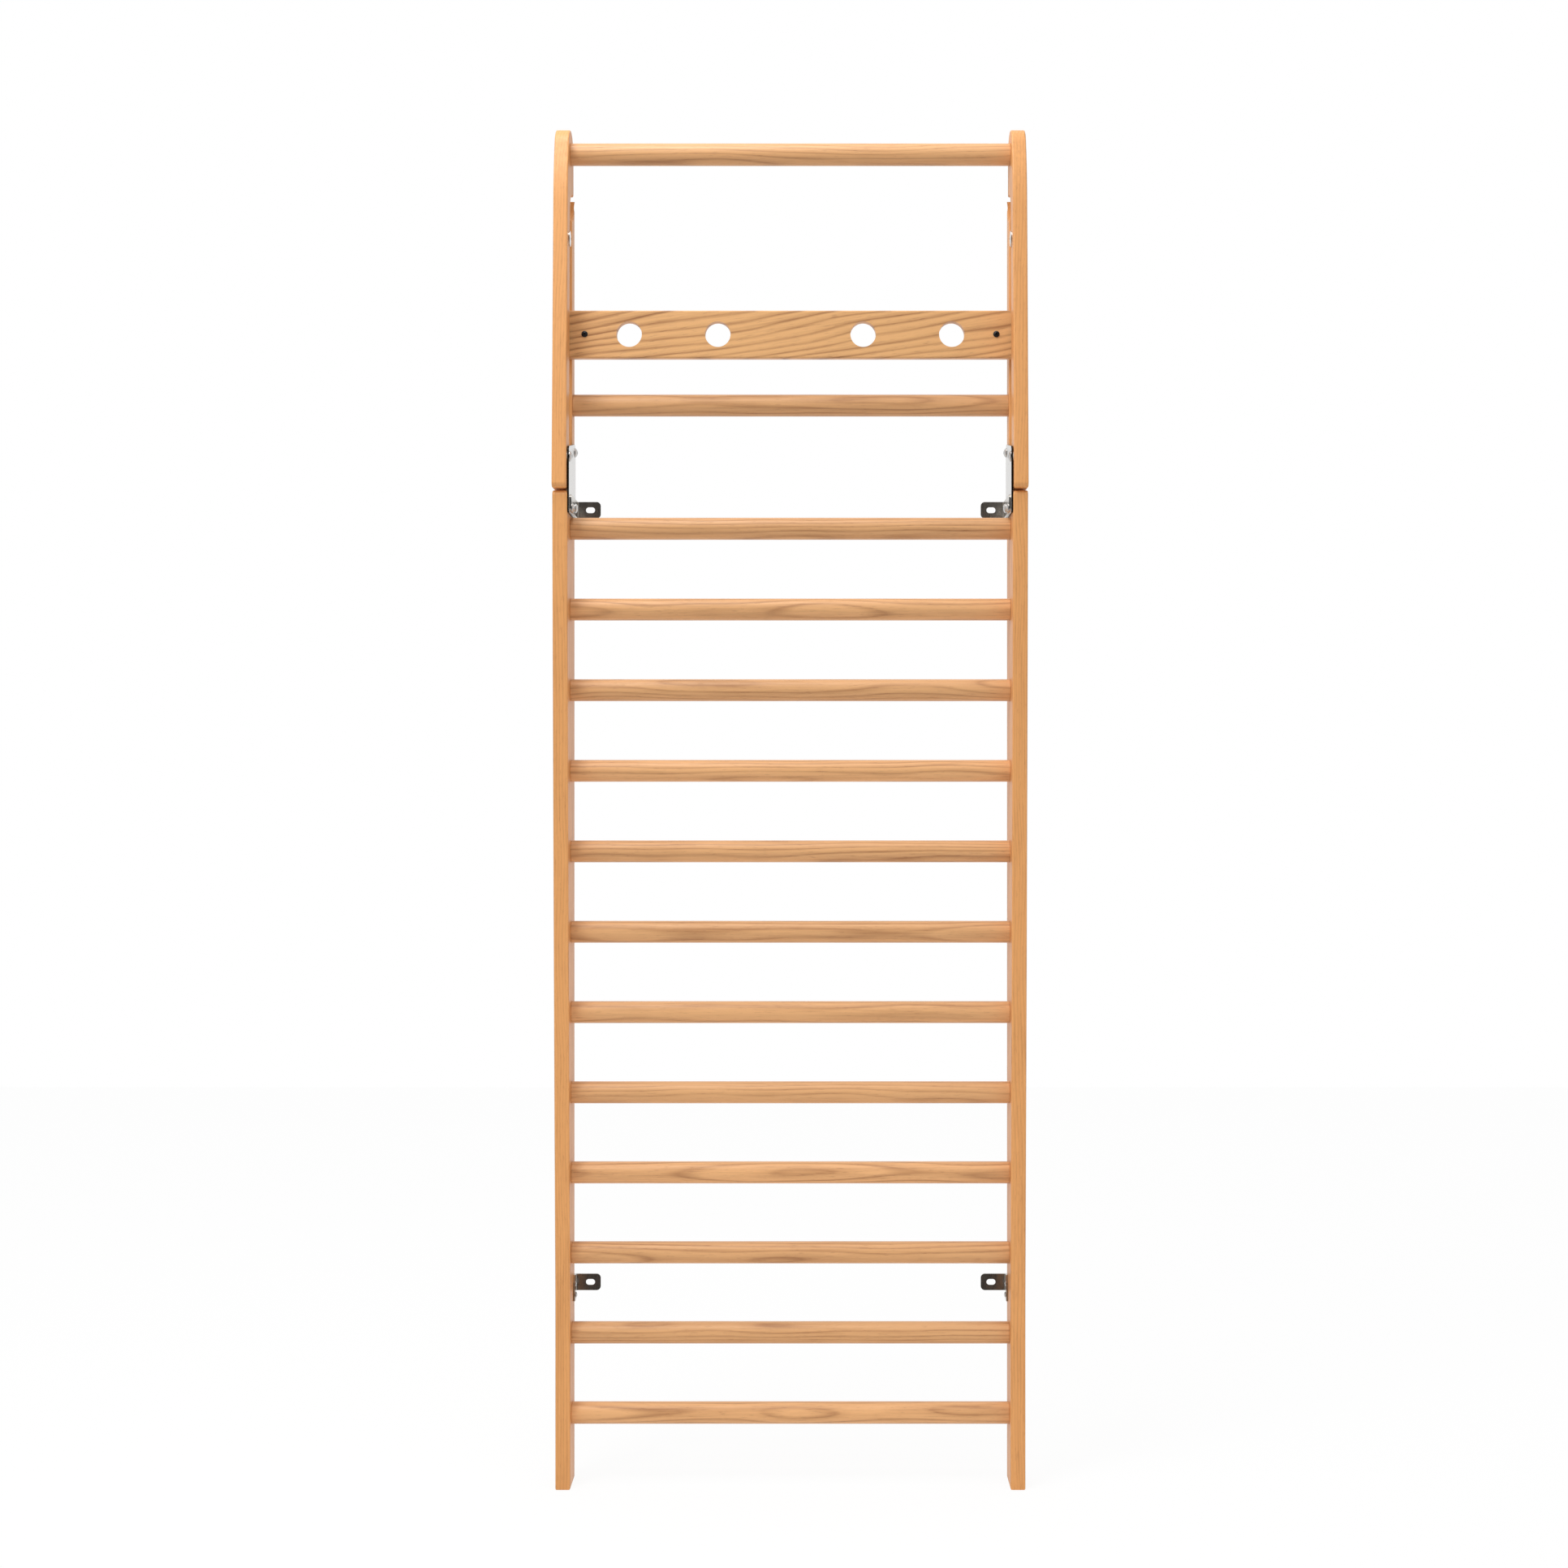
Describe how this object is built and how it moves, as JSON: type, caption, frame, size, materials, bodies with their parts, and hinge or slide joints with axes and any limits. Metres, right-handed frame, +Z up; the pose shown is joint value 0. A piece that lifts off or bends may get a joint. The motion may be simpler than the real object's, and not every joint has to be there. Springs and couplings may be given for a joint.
{
  "type": "wall bars",
  "caption": "Tall oak wall bars: round rungs between two tapering side boards, a drilled cross board, and an upper pull-up frame that swings out on steel hinge plates.",
  "frame": {"origin": "centre of the four wall slots, on the wall plane", "axes": "+X to the right as seen from the room, +Y into the wall, +Z up"},
  "size_m": [0.79, 0.1325, 2.29],
  "materials": {
    "oak_boards": "oiled satin, grain along the board",
    "oak_cross_board": "oiled satin",
    "oak_rungs": "oiled satin",
    "beech_dowels": "raw",
    "satin_steel_plates": "satin",
    "satin_steel_brackets": "satin",
    "zinc_fasteners": "zinc plated",
    "black_bolts": "black oxide",
    "black_rubber": "matte",
    "nylon_bearings": "matte",
    "steel_discs": "satin"
  },
  "bodies": {
    "wall_frame": {"left_side_board": "oak_boards", "right_side_board": "oak_boards", "left_rear_post": "oak_boards", "right_rear_post": "oak_boards", "cross_board": "oak_cross_board", "rung_01": "oak_rungs", "rung_02": "oak_rungs", "rung_03": "oak_rungs", "rung_04": "oak_rungs", "rung_05": "oak_rungs", "rung_06": "oak_rungs", "rung_07": "oak_rungs", "rung_08": "oak_rungs", "rung_09": "oak_rungs", "rung_10": "oak_rungs", "rung_11": "oak_rungs", "rung_12": "oak_rungs", "rung_13": "oak_rungs", "left_post_dowels": "beech_dowels", "right_post_dowels": "beech_dowels", "left_hinge_plate": "satin_steel_plates", "right_hinge_plate": "satin_steel_plates", "left_upper_wall_bracket": "satin_steel_brackets", "right_upper_wall_bracket": "satin_steel_brackets", "left_lower_wall_bracket": "satin_steel_brackets", "right_lower_wall_bracket": "satin_steel_brackets", "left_board_bracket": "satin_steel_brackets", "right_board_bracket": "satin_steel_brackets", "left_plate_bolts": "zinc_fasteners", "right_plate_bolts": "zinc_fasteners", "left_plate_nuts": "zinc_fasteners", "right_plate_nuts": "zinc_fasteners", "left_pivot_bolt": "zinc_fasteners", "right_pivot_bolt": "zinc_fasteners", "left_pivot_nut": "zinc_fasteners", "right_pivot_nut": "zinc_fasteners", "left_bracket_screws": "zinc_fasteners", "right_bracket_screws": "zinc_fasteners", "left_board_bracket_screws": "zinc_fasteners", "right_board_bracket_screws": "zinc_fasteners", "left_stop_pin": "zinc_fasteners", "right_stop_pin": "zinc_fasteners", "board_nuts": "zinc_fasteners", "board_bolts": "black_bolts", "left_stop_sleeve": "black_rubber", "right_stop_sleeve": "black_rubber", "left_closing_buffer": "black_rubber", "right_closing_buffer": "black_rubber", "left_pivot_washer": "nylon_bearings", "right_pivot_washer": "nylon_bearings"},
    "pull_up_frame": {"left_blade": "oak_boards", "right_blade": "oak_boards", "top_bar": "oak_rungs", "left_pivot_bush": "nylon_bearings", "right_pivot_bush": "nylon_bearings", "left_anchor_disc": "steel_discs", "right_anchor_disc": "steel_discs"}
  },
  "joints": [
    {"name": "pull_up_swing", "type": "hinge", "parent": "wall_frame", "child": "pull_up_frame", "pos_m": [0, -0.112, 0.737], "axis": [1, 0, 0], "range_deg": [0, 25]}
  ]
}
